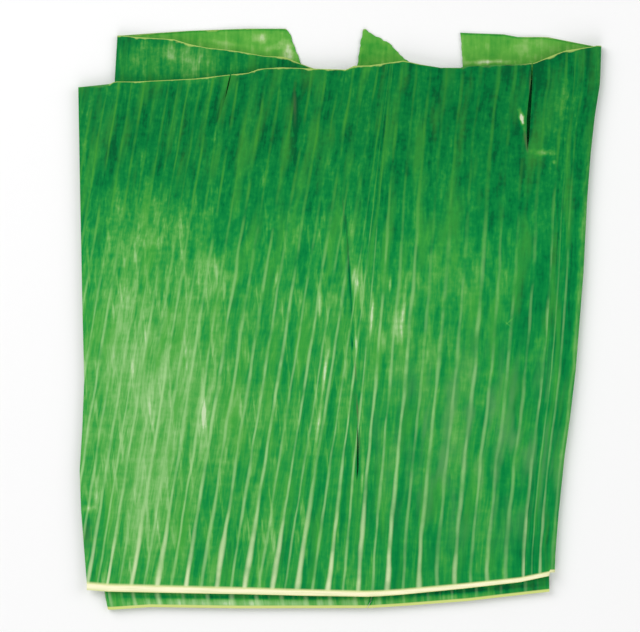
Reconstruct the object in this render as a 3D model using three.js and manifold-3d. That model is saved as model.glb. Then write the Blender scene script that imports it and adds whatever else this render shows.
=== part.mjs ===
// A width of fresh banana leaf, cut free along its midrib and folded in three like a letter.
// It grew as one piece: the thin blade, the sliver of midrib along its lower edge and the side veins.
// Millimetres: x to the right, y from the midrib edge up to the margin, z up from the table.
import * as THREE from 'three';
import { mergeVertices } from 'three/addons/utils/BufferGeometryUtils.js';
import Module from 'manifold-3d';

const wasm = await Module();
wasm.setup();
const { lerp, smoothstep, degToRad } = THREE.MathUtils;

// Blade and side veins
const BLADE = 0.8;
const VEIN_HEIGHT = 0.35;
const VEIN_HALF_WIDTH = 1.3;
const VEIN_PITCH = 13.7;
const ROWS_UP_THE_BLADE = 10;

// Sliver of midrib left along the lower edge: its width, and how far it stands out of each face
const FRONT_SLIVER = { left: 3.9, right: 2.3, step: 0.5 };
const HIDDEN_SLIVER = { left: 1.4, right: 1.4, step: 0.2 };
const SLIVER_SLOPE = 0.25;

// Height of each layer, to the middle of the blade
const BACK_Z = BLADE / 2;
const MIDDLE_Z = 3.4;
const FRONT_Z = 6.6;

// How far each fold's bend reaches in from its outer edge, and the steps round it
const RIGHT_BEND = 3.6;
const LEFT_BEND = 2.4;
const BEND_STEPS = 6;

// Where the veins of the front panel leave the midrib edge, the first four cut off at the free end
const FRONT_VEIN_FEET = [
  -194.2, -180.4, -166.7, -152.9, -139.3, -128.5, -115.2, -101, -85.3, -76.5, -68.5, -52.8,
  -37.6, -24.4, -6.9, 9.4, 25.3, 42.7, 52.1, 62.7, 80.5, 90, 100.5, 109.5,
];
// How far each of them has leant to the right at the margin, and the feet between which the lean changes
const LEAN_LEFT_OF_CREASE = 45.5;
const LEAN_RIGHT_OF_CREASE = 24.5;
const CREASE_FEET = { left: -24.4, right: 9.4 };

// Outlines seen from above
const RIGHT_FOLD = [
  [118.4, -139.4], [118.8, -128.2], [120.5, -107.3], [123.8, -75.4], [126.8, -54.5], [130, -27.5],
  [134.2, 25.3], [136.2, 65.5], [138.3, 92.4], [140.5, 112.2], [143.3, 129.3], [144.1, 150.4],
];
const LEFT_FOLD = [[-127.9, -160.1], [-130, -150.4], [-124.3, 131.2], [-122.8, 156.2]];
const FRONT_FREE_END = [
  [-144.1, 135], [-144.1, 127.6], [-143, 65.5], [-141.9, 10.5], [-140.8, -33.6], [-141.9, -61.1],
  [-143.3, -83.6], [-142.5, -105.6], [-140.8, -127.1], [-139.3, -145.8], [-139.5, -155],
];
const FRONT_LOWER_EDGE = [
  [-139.5, -149.1], [-127.6, -149.9], [-55, -151.3], [-22, -152.1], [13.7, -152.7], [22, -152.4],
  [33, -151.6], [67.1, -148.3], [98.5, -144.7], [114.8, -141.3],
];
const FRONT_MARGIN = [
  [-144.1, 127.6], [-126.5, 129.3], [-123.8, 130.6], [-112.8, 130.5], [-80.3, 132.1], [-60.5, 134.4],
  [-50.6, 135.3], [-44.6, 137.5], [-32.5, 138.4], [-8.3, 137.5], [3.3, 137.1], [7.7, 139.2],
  [16, 139.4], [34.7, 142.1], [44, 140], [55, 138.2], [66, 138.2], [69.3, 139.2], [96.8, 140],
  [106.6, 140.8], [117.7, 145.4], [124.3, 147.7], [138.6, 149.8], [140.5, 150.2],
];
const BACK_LOWER_EDGE = [[-125.5, -160.1], [114.8, -139.4]];
const BACK_MARGIN = [
  [-120.4, 156.4], [-102.9, 157.6], [-82.5, 159], [-50.6, 160.1], [-30, 160.1], [13.8, 159.9],
  [66.3, 157.9], [90.8, 157], [98.5, 155.5], [114.7, 155.5], [131.3, 152.2], [140.5, 150.4],
];
const MIDDLE_LOWER_EDGE = [
  [-125.5, -160.1], [-104.5, -158.7], [-55, -159.4], [15.4, -159.2], [33, -158.1], [68.8, -155.4],
  [86.9, -153.3], [114.4, -150.2],
];
const MIDDLE_MARGIN = [
  [-120.4, 156.2], [-112.2, 155.3], [-91.3, 154], [-82.5, 151.3], [-73.2, 149.4], [-56.7, 147.6],
  [-41.3, 144.8], [-30.3, 144.4], [-22, 140.8], [-5.5, 134.8], [60.5, 131.5], [136, 132.6],
];

// Two pieces torn out of the back panel's margin, which leave three flaps standing
const BACK_NOTCHES = [
  [[-30, 162], [-30, 160.1], [-27.8, 157.6], [-20.9, 139.8], [-19.8, 134.2], [8.3, 134.2],
    [9.6, 140.3], [12.5, 158.6], [12.9, 162]],
  [[14.6, 162], [14.6, 159.4], [16, 158.1], [25.6, 153.1], [30.6, 148.5], [35.6, 143.4],
    [38.5, 141.4], [40.2, 134.8], [66.6, 134.8], [67.8, 139.4], [66.3, 157.9], [66.3, 162]],
];

// Tears: points along each one, with how wide it gapes there
const FRONT_TEARS = [
  [[105.8, 144, 0.6], [105.4, 131, 0.8], [104.4, 119, 1.8], [103.7, 110, 2.1], [103.4, 100, 1.4], [103.2, 93, 0]],
  [[-59.6, 137, 0.9], [-61.6, 128.2, 0.7], [-63.5, 120, 0]],
  [[9.2, -89, 0], [9.8, -82, 0.9], [9.8, -70, 0.8], [9.5, -56, 0]],
];
const MIDDLE_TEARS = [
  [[14.2, -163, 0.6], [14.9, -159.2, 0.6], [17, -155.6, 0.6], [17.4, -152.4, 0.6], [18, -146, 0]],
];

// Heights between which a cut passes through one layer only
const BELOW_ALL = -2;
const ABOVE_BACK = 2.4;
const ABOVE_MIDDLE = 4.9;
const ABOVE_ALL = 12;

// The value at one place of a line given by its points, read along one axis (0 is x, 1 is y)
function along(line, place, axis = 0) {
  const last = line.length - 1;
  const next = line.findIndex((point) => point[axis] > place);
  const end = next < 0 ? last : Math.max(next, 1);
  const [a, b] = [line[end - 1], line[end]];
  const share = THREE.MathUtils.clamp((place - a[axis]) / (b[axis] - a[axis]), 0, 1);
  return lerp(a[1 - axis], b[1 - axis], share);
}

// How far a fold's edge bows away from the straight line between its ends
function bow(fold, y) {
  const [low, high] = [fold[0], fold[fold.length - 1]];
  const share = (y - low[1]) / (high[1] - low[1]);
  return along(fold, THREE.MathUtils.clamp(y, low[1], high[1]), 1) - lerp(low[0], high[0], share);
}

// Gentle waves of the front panel, calm at the fold, with its middle crease and its drooping free end
function frontZ(x, y) {
  const calm = smoothstep(along(RIGHT_FOLD, y, 1) - x, RIGHT_BEND, 30);
  const swell = 0.3 * Math.sin(x / 16 + 0.9) + 0.2 * Math.sin(x / 9 - y / 80 + 2);
  const ripple = 0.3 * Math.sin(x / 6.5 + 1) * smoothstep(y, 60, 140);
  const offCrease = (x - 6.3 + y / 17) / 5;
  const crease = 0.5 * Math.exp(-offCrease * offCrease) * smoothstep(y, -150, -90) * smoothstep(-y, -80, -50);
  const droop = 1.6 * smoothstep(-x, 122, 146);
  return FRONT_Z + calm * (swell + ripple - crease) - droop;
}

function middleZ(x, y) {
  const calm = smoothstep(x, -122, -100);
  return MIDDLE_Z + calm * (0.12 * Math.sin(x / 19) + 0.4 * smoothstep(y, 100, 150) * Math.sin(x / 15) ** 2);
}

// The back panel lies flat on the table and lifts a little towards its torn margin
function backZ(x, y) {
  const calm = smoothstep(x, -122, -95) * smoothstep(-x, -130, -100);
  return BACK_Z + calm * 0.7 * smoothstep(y, 115, 158) * Math.cos(x / 17) ** 2;
}

const UP = new THREE.Vector3(0, 0, 1);
const DOWN = new THREE.Vector3(0, 0, -1);

// The three panels. rightShare says how much of each fold's bow a vein follows, by its place across.
const FRONT = {
  lower: FRONT_LOWER_EDGE, margin: FRONT_MARGIN, sliver: FRONT_SLIVER, z: frontZ, outward: UP, outerVein: 1,
  rightShare: (x) => smoothstep(x, -60, 114.8), leftShare: () => 0,
};
const BACK = {
  lower: BACK_LOWER_EDGE, margin: BACK_MARGIN, sliver: HIDDEN_SLIVER, z: backZ, outward: DOWN, outerVein: 0,
  rightShare: (x) => (x + 125.5) / 240.3, leftShare: (x) => (114.8 - x) / 240.3,
};
const MIDDLE = {
  lower: MIDDLE_LOWER_EDGE, margin: MIDDLE_MARGIN, sliver: HIDDEN_SLIVER, z: middleZ, outward: UP, outerVein: 1,
  rightShare: (x) => (x + 125.5) / 240.3, leftShare: (x) => (114.8 - x) / 240.3,
};

// Rows from the midrib edge to the margin: across the sliver first, then in equal shares of the blade
const ROWS = [{ sliver: 0, share: 0, step: 1 }, { sliver: 1, share: 0, step: 1 }];
for (let i = 0; i <= ROWS_UP_THE_BLADE; i++) {
  ROWS.push({ sliver: 1 + SLIVER_SLOPE, share: i / ROWS_UP_THE_BLADE, step: 0 });
}

// How far up from the midrib edge a row lies on a line of the given length
function rise(row, length, sliverWidth) {
  return row.sliver * sliverWidth + row.share * (length - (1 + SLIVER_SLOPE) * sliverWidth);
}

// One line of points up a flat panel, from its foot at the midrib edge to its tip at the margin
function panelColumn(panel, footX, tipX, vein) {
  const footY = along(panel.lower, footX);
  const tipY = along(panel.margin, tipX);
  const [first, last] = [panel.lower[0][0], panel.lower[panel.lower.length - 1][0]];
  const across = THREE.MathUtils.clamp((footX - first) / (last - first), 0, 1);
  const width = lerp(panel.sliver.left, panel.sliver.right, across);
  return ROWS.map((row) => {
    const y = footY + rise(row, tipY - footY, width);
    const straight = lerp(footX, tipX, (y - footY) / (tipY - footY));
    const bowed = panel.rightShare(footX) * bow(RIGHT_FOLD, y) + panel.leftShare(footX) * bow(LEFT_FOLD, y);
    const x = straight + bowed;
    const raised = vein * VEIN_HEIGHT * (1 - row.step);
    return {
      middle: new THREE.Vector3(x, y, panel.z(x, y)),
      outward: panel.outward,
      outer: BLADE / 2 + row.step * panel.sliver.step * panel.outerVein + raised * panel.outerVein,
      inner: BLADE / 2 + row.step * panel.sliver.step + raised * (1 - panel.outerVein),
    };
  });
}

// One line of points up a fold, at an angle round its bend: 90 degrees is the upper layer's end of it
function foldColumn(fold, side, bend, lowZ, highZ, degrees) {
  const angle = degToRad(degrees);
  const [low, high] = [fold[0], fold[fold.length - 1]];
  const outward = new THREE.Vector3(side * Math.cos(angle), 0, Math.sin(angle));
  return ROWS.map((row) => {
    const y = low[1] + rise(row, high[1] - low[1], HIDDEN_SLIVER.left);
    const reach = bend - BLADE / 2;
    const x = along(fold, y, 1) + side * (reach * Math.cos(angle) - bend);
    const z = (lowZ + highZ) / 2 + ((highZ - lowZ) / 2) * Math.sin(angle);
    return { middle: new THREE.Vector3(x, y, z), outward, outer: BLADE / 2, inner: BLADE / 2 };
  });
}

// The columns of one vein: its two sides and its crest
function veinColumns(panel, footX, tipX) {
  return [-1, 0, 1].map((side) => {
    const aside = side * VEIN_HALF_WIDTH;
    return panelColumn(panel, footX + aside, tipX + aside, side === 0 ? 1 : 0);
  });
}

// The front panel's veins lean to the right, far more so on the left of its crease, where they run together
function frontColumns() {
  return FRONT_VEIN_FEET.flatMap((footX) => {
    const leftOfCrease = smoothstep(-footX, -CREASE_FEET.right, -CREASE_FEET.left);
    return veinColumns(FRONT, footX, footX + lerp(LEAN_RIGHT_OF_CREASE, LEAN_LEFT_OF_CREASE, leftOfCrease));
  });
}

// Evenly spaced veins between the two sides of a panel, in order from left to right
function evenColumns(panel) {
  const ends = (line) => [line[0][0], line[line.length - 1][0]];
  const [footLeft, footRight] = ends(panel.lower);
  const [tipLeft, tipRight] = ends(panel.margin);
  const spaces = Math.round((footRight - footLeft) / VEIN_PITCH);
  const columns = [panelColumn(panel, footLeft, tipLeft, 0)];
  for (let i = 1; i < spaces; i++) {
    const share = i / spaces;
    columns.push(...veinColumns(panel, lerp(footLeft, footRight, share), lerp(tipLeft, tipRight, share)));
  }
  columns.push(panelColumn(panel, footRight, tipRight, 0));
  return columns;
}

function foldColumns(fold, side, bend, lowZ, highZ, downwards) {
  const columns = [];
  for (let i = 1; i < BEND_STEPS; i++) {
    const degrees = 90 - (180 * i) / BEND_STEPS;
    columns.push(foldColumn(fold, side, bend, lowZ, highZ, downwards ? degrees : -degrees));
  }
  return columns;
}

// The whole blade in order: front, round the right fold, back, round the left fold, middle
function bladeColumns() {
  const [foldFoot, foldTip] = [RIGHT_FOLD[0][0], RIGHT_FOLD[RIGHT_FOLD.length - 1][0]];
  return [
    ...frontColumns(),
    panelColumn(FRONT, foldFoot - RIGHT_BEND, foldTip - RIGHT_BEND, 0),
    ...foldColumns(RIGHT_FOLD, 1, RIGHT_BEND, BACK_Z, FRONT_Z, true),
    ...evenColumns(BACK).reverse(),
    ...foldColumns(LEFT_FOLD, -1, LEFT_BEND, BACK_Z, MIDDLE_Z, false),
    ...evenColumns(MIDDLE),
  ];
}

// A closed skin over the columns: outer face, inner face and the four narrow edges between them
function bladeGeometry(columns) {
  const rows = ROWS.length;
  const positions = [];
  const triangles = [];
  for (const column of columns) {
    for (const { middle, outward, outer, inner } of column) {
      positions.push(...middle.clone().addScaledVector(outward, outer).toArray());
      positions.push(...middle.clone().addScaledVector(outward, -inner).toArray());
    }
  }
  const at = (column, row, face) => 2 * (column * rows + row) + face;
  const quad = (a, b, c, d) => triangles.push(a, b, c, a, c, d);
  for (let i = 0; i + 1 < columns.length; i++) {
    for (let j = 0; j + 1 < rows; j++) {
      quad(at(i, j, 0), at(i + 1, j, 0), at(i + 1, j + 1, 0), at(i, j + 1, 0));
      quad(at(i + 1, j + 1, 1), at(i + 1, j, 1), at(i, j, 1), at(i, j + 1, 1));
    }
    quad(at(i, 0, 1), at(i + 1, 0, 1), at(i + 1, 0, 0), at(i, 0, 0));
    quad(at(i, rows - 1, 0), at(i + 1, rows - 1, 0), at(i + 1, rows - 1, 1), at(i, rows - 1, 1));
  }
  const end = columns.length - 1;
  for (let j = 0; j + 1 < rows; j++) {
    quad(at(0, j, 1), at(0, j, 0), at(0, j + 1, 0), at(0, j + 1, 1));
    quad(at(end, j, 0), at(end, j, 1), at(end, j + 1, 1), at(end, j + 1, 0));
  }
  const geometry = new THREE.BufferGeometry();
  geometry.setAttribute('position', new THREE.Float32BufferAttribute(positions, 3));
  geometry.setIndex(triangles);
  return geometry;
}

function solidOf(geometry) {
  geometry.deleteAttribute('normal');
  geometry.deleteAttribute('uv');
  const merged = mergeVertices(geometry, 1e-4);
  return new wasm.Manifold(new wasm.Mesh({
    numProp: 3,
    vertProperties: new Float32Array(merged.attributes.position.array),
    triVerts: new Uint32Array(merged.index.array),
  }));
}

// A straight-sided cutter with the given outline, between two heights
function prism(outline, low, high) {
  const shape = new THREE.Shape(outline.map(([x, y]) => new THREE.Vector2(x, y)));
  const geometry = new THREE.ExtrudeGeometry(shape, { depth: high - low, bevelEnabled: false });
  return solidOf(geometry.translate(0, 0, low));
}

// The outline of a tear: down its left lip and back up its right one, which meet wherever it doesn't gape
function tearOutline(tear) {
  const left = tear.map(([x, y, gape]) => [x - gape / 2, y]);
  const right = tear.filter(([, , gape]) => gape > 0).map(([x, y, gape]) => [x + gape / 2, y]);
  return [...left, ...right.reverse()];
}

function leafSolid() {
  const beyond = [[-230, -155], [-230, 135]];
  const cutters = [
    prism([...FRONT_FREE_END, ...beyond], BELOW_ALL, ABOVE_ALL),
    ...BACK_NOTCHES.map((outline) => prism(outline, BELOW_ALL, ABOVE_BACK)),
    ...FRONT_TEARS.map((tear) => prism(tearOutline(tear), ABOVE_MIDDLE, ABOVE_ALL)),
    ...MIDDLE_TEARS.map((tear) => prism(tearOutline(tear), ABOVE_BACK, ABOVE_MIDDLE)),
  ];
  return cutters.reduce((solid, cutter) => solid.subtract(cutter), solidOf(bladeGeometry(bladeColumns())));
}

function geometryOf(solid) {
  const mesh = solid.getMesh();
  const geometry = new THREE.BufferGeometry();
  geometry.setAttribute('position', new THREE.Float32BufferAttribute(mesh.vertProperties, mesh.numProp));
  geometry.setIndex([...mesh.triVerts]);
  geometry.computeVertexNormals();
  return geometry;
}

function bananaLeaf() {
  const fresh = new THREE.MeshStandardMaterial({ color: 0x349a42, roughness: 0.42, metalness: 0 });
  const leaf = new THREE.Mesh(geometryOf(leafSolid()), fresh);
  leaf.name = 'banana_leaf';
  return leaf;
}

const part = new THREE.Group();
part.add(bananaLeaf());
export default part;
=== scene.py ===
# %% [markdown]
# # A banana leaf, folded in three
# A width of fresh banana leaf has been cut free along its midrib and folded like a letter. The scene begins
# with the plain solid of the leaf, which says how large it is and where it lies. Everything else is built
# round that solid and stays inside its box, so the solid is loaded first.

# %% Load the solid
import math

import bpy
import numpy as np
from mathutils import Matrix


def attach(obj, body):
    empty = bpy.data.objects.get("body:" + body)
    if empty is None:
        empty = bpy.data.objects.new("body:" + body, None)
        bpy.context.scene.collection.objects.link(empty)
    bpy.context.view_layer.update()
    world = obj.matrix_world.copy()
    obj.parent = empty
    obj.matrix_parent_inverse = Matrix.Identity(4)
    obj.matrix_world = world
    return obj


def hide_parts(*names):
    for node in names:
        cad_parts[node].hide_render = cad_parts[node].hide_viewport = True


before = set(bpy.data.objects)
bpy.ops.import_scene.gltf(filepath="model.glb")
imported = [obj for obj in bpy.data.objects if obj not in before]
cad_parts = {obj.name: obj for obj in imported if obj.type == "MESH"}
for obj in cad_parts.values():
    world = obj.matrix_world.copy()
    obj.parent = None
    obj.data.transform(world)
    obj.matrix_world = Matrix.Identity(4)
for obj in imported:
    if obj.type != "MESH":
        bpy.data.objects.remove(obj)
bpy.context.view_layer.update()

# %% [markdown]
# ## What the leaf measures
# A banana leaf is two wide half blades on either side of a thick midrib. Side veins run from the midrib to
# the margin, 12 to 15 mm apart, and a sliver of the midrib stays on the cut edge as a cream band. The real
# blade is about a third of a millimetre thick. Sizes are written in millimetres, as a ruler on the leaf would
# give them, and `MM` turns them into the metres that Blender works in.

# %% Sizes of the blade and of its folds
MM = 0.001
BLADE = 0.45
VEIN_PITCH = 13.7
SLIVER_SLOPE = 0.25
FRONT_SLIVER = {"left": 3.9, "right": 2.3, "step": 0.6}
HIDDEN_SLIVER = {"left": 1.4, "right": 1.4, "step": 0.25}

BACK_Z = 0.56
MIDDLE_Z = 3.4
FRONT_Z = 6.6
RIGHT_BEND = 3.6
LEFT_BEND = 2.4
print("layers at", BACK_Z, MIDDLE_Z, FRONT_Z, "mm above the table")

# %% [markdown]
# ## The outline
# Four lines bound the blade: the midrib edge below, the wavy margin above, and a cut end at each side. Seen
# from above there are also the two folds. Each line is a short list of points, because a torn or cut edge has
# no rule. The torn notches get a fine wavering between their points when they are cut.

# %% Outlines seen from above
FRONT_VEIN_FEET = [
    -194.2, -180.4, -166.7, -152.9, -139.3, -128.5, -115.2, -101, -85.3, -68.5, -52.8,
    -37.6, -24.4, -6.9, 9.4, 25.3, 42.7, 62.7, 80.5, 100.5, 109.5,
]
LEAN_LEFT_OF_CREASE = 45.5
LEAN_RIGHT_OF_CREASE = 24.5
CREASE_FEET = {"left": -24.4, "right": 9.4}
RIGHT_FOLD = [
    (118.4, -139.4), (118.8, -128.2), (120.5, -107.3), (123.8, -75.4), (126.8, -54.5), (130, -27.5),
    (134.2, 25.3), (136.2, 65.5), (138.3, 92.4), (140.5, 112.2), (143.3, 129.3), (144.1, 150.4),
]
LEFT_FOLD = [(-127.9, -160.1), (-130, -150.4), (-124.3, 131.2), (-122.8, 156.2)]
FRONT_FREE_END = [
    (-144.1, 135), (-144.1, 127.6), (-143, 65.5), (-141.9, 10.5), (-140.8, -33.6), (-141.9, -61.1),
    (-143.3, -83.6), (-142.5, -105.6), (-140.8, -127.1), (-139.3, -145.8), (-139.5, -155),
]
FRONT_LOWER_EDGE = [
    (-139.5, -149.1), (-127.6, -149.9), (-55, -151.3), (-22, -152.1), (13.7, -152.7), (22, -152.4),
    (33, -151.6), (67.1, -148.3), (98.5, -144.7), (114.8, -141.3),
]
FRONT_MARGIN = [
    (-144.1, 127.6), (-126.5, 129.3), (-123.8, 130.6), (-112.8, 130.5), (-80.3, 132.1), (-60.5, 134.4),
    (-50.6, 135.3), (-44.6, 137.5), (-32.5, 138.4), (-8.3, 137.5), (3.3, 137.1), (7.7, 139.2),
    (16, 139.4), (34.7, 142.1), (44, 140), (55, 138.2), (66, 138.2), (69.3, 139.2), (96.8, 140),
    (106.6, 140.8), (117.7, 145.4), (124.3, 147.7), (138.6, 149.8), (140.5, 150.2),
]
BACK_LOWER_EDGE = [(-125.5, -160.1), (114.8, -139.4)]
BACK_MARGIN = [
    (-120.4, 156.4), (-102.9, 157.6), (-82.5, 159), (-50.6, 160.1), (-30, 160.1), (13.8, 159.9),
    (66.3, 157.9), (90.8, 157), (98.5, 155.5), (114.7, 155.5), (131.3, 152.2), (140.5, 150.4),
]
MIDDLE_LOWER_EDGE = [
    (-125.5, -160.1), (-104.5, -158.7), (-55, -159.4), (15.4, -159.2), (33, -158.1), (68.8, -155.4),
    (86.9, -153.3), (114.4, -150.2),
]
MIDDLE_MARGIN = [
    (-120.4, 156.2), (-112.2, 155.3), (-91.3, 154), (-82.5, 151.3), (-73.2, 149.4), (-56.7, 147.6),
    (-41.3, 144.8), (-30.3, 144.4), (-22, 140.8), (-5.5, 134.8), (60.5, 131.5), (136, 132.6),
]
print("veins on the front panel:", len(FRONT_VEIN_FEET))

# %% [markdown]
# ## Reading the lines
# Four small helpers do the sums. `along` gives the value of a line between two of its points, and `bow` says
# how far a fold curves away from a straight line, so that the veins beside the fold can curve with it.
# `smoothstep` is a soft step from 0 to 1, and `mix` goes from one value to another by a share.


# %% Helpers that read an outline
def along(line, place, axis=0):
    points = np.array(sorted(line, key=lambda point: point[axis]), float)
    return np.interp(place, points[:, axis], points[:, 1 - axis])


def bow(fold, y):
    low, high = fold[0], fold[-1]
    share = (y - low[1]) / (high[1] - low[1])
    return along(fold, np.clip(y, low[1], high[1]), 1) - (low[0] + (high[0] - low[0]) * share)


def smoothstep(value, low, high):
    share = np.clip((value - low) / (high - low), 0, 1)
    return share * share * (3 - 2 * share)


def mix(a, b, share):
    return a + (b - a) * share


print("right fold bows", round(float(bow(RIGHT_FOLD, 25.3)), 2), "mm at its middle")

# %% [markdown]
# ## How the panels lie
# A fresh leaf is springy, so the folded panels don't lie dead flat. The front panel rolls in long low waves,
# has a crease down its middle and droops at its free end. The back panel rests on the table and only lifts at
# its torn margin. Cloth simulation could fold the leaf, but a leaf hardly drapes, and sine waves give the
# gentle swell at no cost and are the same each time.


# %% Height of each panel
LONG_WAVE, SHORT_WAVE, MARGIN_RIPPLE = 0.3, 0.2, 0.3
CREASE_DEPTH, CREASE_HALF_WIDTH = 0.6, 2.6
END_DROOP = 1.6
MARGIN_LIFT = {"middle": 0.4, "back": 0.7}


def wander(x, y, step, seed):
    """A smooth hilly field from -1 to 1, made of a few waves with seeded directions."""
    random = np.random.default_rng(seed)
    total = 0
    for _ in range(6):
        turn, shift = random.uniform(0, math.tau, 2)
        wave = step * random.uniform(0.6, 1.6)
        total = total + np.sin((x * math.cos(turn) + y * math.sin(turn)) * math.tau / wave + shift)
    return total / 6


def front_z(x, y):
    calm = smoothstep(along(RIGHT_FOLD, y, 1) - x, RIGHT_BEND, 30)
    swell = LONG_WAVE * np.sin(x / 16 + 0.9) + SHORT_WAVE * np.sin(x / 9 - y / 80 + 2)
    ripple = MARGIN_RIPPLE * np.sin(x / 6.5 + 1) * smoothstep(y, 60, 140)
    off_crease = np.abs(x - 6.3 + y / 17) / CREASE_HALF_WIDTH
    crease = CREASE_DEPTH * np.exp(-off_crease) * smoothstep(y, -120, -80) * smoothstep(-y, -80, -50)
    droop = END_DROOP * smoothstep(-x, 122, 146)
    uneven = 0.12 * wander(x, y / 3, 24, 3)
    return FRONT_Z + calm * (swell + ripple - crease + uneven) - droop


def middle_z(x, y):
    calm = smoothstep(x, -122, -100)
    lift = MARGIN_LIFT["middle"] * smoothstep(y, 100, 150) * np.sin(x / 15) ** 2
    return MIDDLE_Z + calm * (0.12 * np.sin(x / 19) + lift + 0.08 * wander(x, y / 3, 24, 4))


def back_z(x, y):
    calm = smoothstep(x, -122, -95) * smoothstep(-x, -130, -100)
    return BACK_Z + calm * MARGIN_LIFT["back"] * smoothstep(y, 115, 158) * np.cos(x / 17) ** 2


print("front panel at its crease:", round(float(front_z(6.5, 0.0)), 2), "mm")

# %% [markdown]
# ## Lines of points up the blade
# The blade is a grid. Its columns follow the veins from the midrib edge to the margin, so a vein can be
# raised as a crisp ridge, and its rows run the other way. Columns crowd together on each vein and stand wider
# apart between them, which puts the points where the shape needs them.

# %% Rows of the grid
ROWS_UP_THE_BLADE = 66
SLIVER_ROWS = (0, 0.12, 0.5, 0.88, 1)
row_sliver = np.array([*SLIVER_ROWS, *[1 + SLIVER_SLOPE] * (ROWS_UP_THE_BLADE + 1)])
row_share = np.array([*[0] * len(SLIVER_ROWS), *np.linspace(0, 1, ROWS_UP_THE_BLADE + 1)])
row_step = np.array([0.7, 1, 1, 1, 0.8, *[0] * (ROWS_UP_THE_BLADE + 1)])
print("rows:", len(row_share))


# %% Places across a panel, crowded on its veins
def crowded(crests, spacing, half_width=1.3):
    places = []
    for left, right in zip(crests[:-1], crests[1:]):
        spaces = max(2, round((right - left - 2 * half_width) / spacing))
        between = np.linspace(left + half_width, right - half_width, spaces + 1)
        places += [left, left + half_width / 2, *between, right - half_width / 2]
    return np.array([*places, crests[-1]])


print("columns from one vein to the next:", len(crowded([0, VEIN_PITCH], 1.8)) - 1)


# %% A panel as a grid of points
def panel_grid(lower, margin, sliver, height, foot, tip, shares, outward, grain):
    """Points and marks of one flat panel. grain numbers the veins: it is a whole number on each crest."""
    first, last = lower[0][0], lower[-1][0]
    width = mix(sliver["left"], sliver["right"], np.clip((foot - first) / (last - first), 0, 1))
    foot_y, tip_y = along(lower, foot), along(margin, tip)
    length = tip_y - foot_y
    blade = length - (1 + SLIVER_SLOPE) * width
    up = row_sliver[None] * width[:, None] + row_share[None] * blade[:, None]
    y = foot_y[:, None] + up
    x = mix(foot[:, None], tip[:, None], up / length[:, None])
    x = x + shares[0][:, None] * bow(RIGHT_FOLD, y) + shares[1][:, None] * bow(LEFT_FOLD, y)
    step = row_step[None] * sliver["step"] * np.ones_like(x)
    return {
        "point": np.stack([x, y, height(x, y)], -1),
        "outward": np.broadcast_to(np.array([0, 0, outward], float), (*x.shape, 3)),
        "outer": BLADE / 2 + step * (outward > 0),
        "inner": BLADE / 2 + step,
        "grain": np.broadcast_to(grain[:, None], x.shape),
        "up": up / width[:, None],
        "down": length[:, None] - up,
    }


def fold_grid(fold, side, bend, low_z, high_z, degrees, grain):
    """Points and marks round one fold, for a list of angles. 90 degrees is the upper layer's end of it."""
    low, high = fold[0], fold[-1]
    width, length = HIDDEN_SLIVER["left"], high[1] - low[1]
    up = row_sliver * width + row_share * (length - (1 + SLIVER_SLOPE) * width)
    up = np.broadcast_to(up, (len(degrees), len(up)))
    y = low[1] + up
    angle = np.radians(degrees)[:, None] * np.ones_like(y)
    x = along(fold, y, 1) + side * ((bend - BLADE / 2) * np.cos(angle) - bend)
    z = (low_z + high_z) / 2 + (high_z - low_z) / 2 * np.sin(angle)
    step = row_step[None] * HIDDEN_SLIVER["step"] * np.ones_like(x)
    return {
        "point": np.stack([x, y, z], -1),
        "outward": np.stack([side * np.cos(angle), 0 * angle, np.sin(angle)], -1),
        "outer": BLADE / 2 + 0 * x,
        "inner": BLADE / 2 + step,
        "grain": np.broadcast_to(np.asarray(grain, float)[:, None], x.shape),
        "up": up / width,
        "down": length - up,
    }


print("a panel and a fold both give:", "point, outward, outer, inner, grain, up, down")

# %% [markdown]
# ## The front panel
# Its veins lean to the right on their way up, and far more so on the left of its middle crease than on the
# right of it, so they run together there. Where they leave the midrib edge was read from the leaf itself,
# because the spacing of real veins is uneven and the eye notices a row that is too regular.

# %% Front panel
front_foot = crowded(FRONT_VEIN_FEET, 1.75)
front_foot = np.append(front_foot, np.linspace(front_foot[-1], RIGHT_FOLD[0][0] - RIGHT_BEND, 5)[1:])
left_of_crease = smoothstep(-front_foot, -CREASE_FEET["right"], -CREASE_FEET["left"])
front_tip = front_foot + mix(LEAN_RIGHT_OF_CREASE, LEAN_LEFT_OF_CREASE, left_of_crease)
front_tip[-1] = RIGHT_FOLD[-1][0] - RIGHT_BEND
front_grain = np.interp(front_foot, FRONT_VEIN_FEET, range(len(FRONT_VEIN_FEET)))
front_grain += np.maximum(front_foot - FRONT_VEIN_FEET[-1], 0) / VEIN_PITCH
front = panel_grid(
    FRONT_LOWER_EDGE, FRONT_MARGIN, FRONT_SLIVER, front_z, front_foot, front_tip,
    (smoothstep(front_foot, -60, 114.8), 0 * front_foot), 1, front_grain,
)
print("front panel:", front["point"].shape[:2], "points")

# %% [markdown]
# ## The hidden panels and the folds
# The back and middle panels have evenly spaced veins. The two folds are half turns: each column goes round a
# bend that is as high as the gap between the layers it joins.

# %% Back and middle panels
BACK_SPACES = 18
MIDDLE_SPACES = 18
FIRST_BACK_VEIN = 21
FIRST_MIDDLE_VEIN = FIRST_BACK_VEIN + BACK_SPACES + 1


def even_panel(lower, margin, height, outward, spaces, first_vein, towards_left):
    crests = np.linspace(lower[0][0], lower[-1][0], spaces + 1)
    foot = crowded(list(crests), 2.3)
    share = (foot - foot[0]) / (foot[-1] - foot[0])
    tip = mix(margin[0][0], margin[-1][0], share)
    if towards_left:
        foot, tip, share = foot[::-1], tip[::-1], share[::-1]
    grain = first_vein + spaces * (1 - share if towards_left else share)
    return panel_grid(
        lower, margin, HIDDEN_SLIVER, height, foot, tip, (share, 1 - share), outward, grain,
    )


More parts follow.
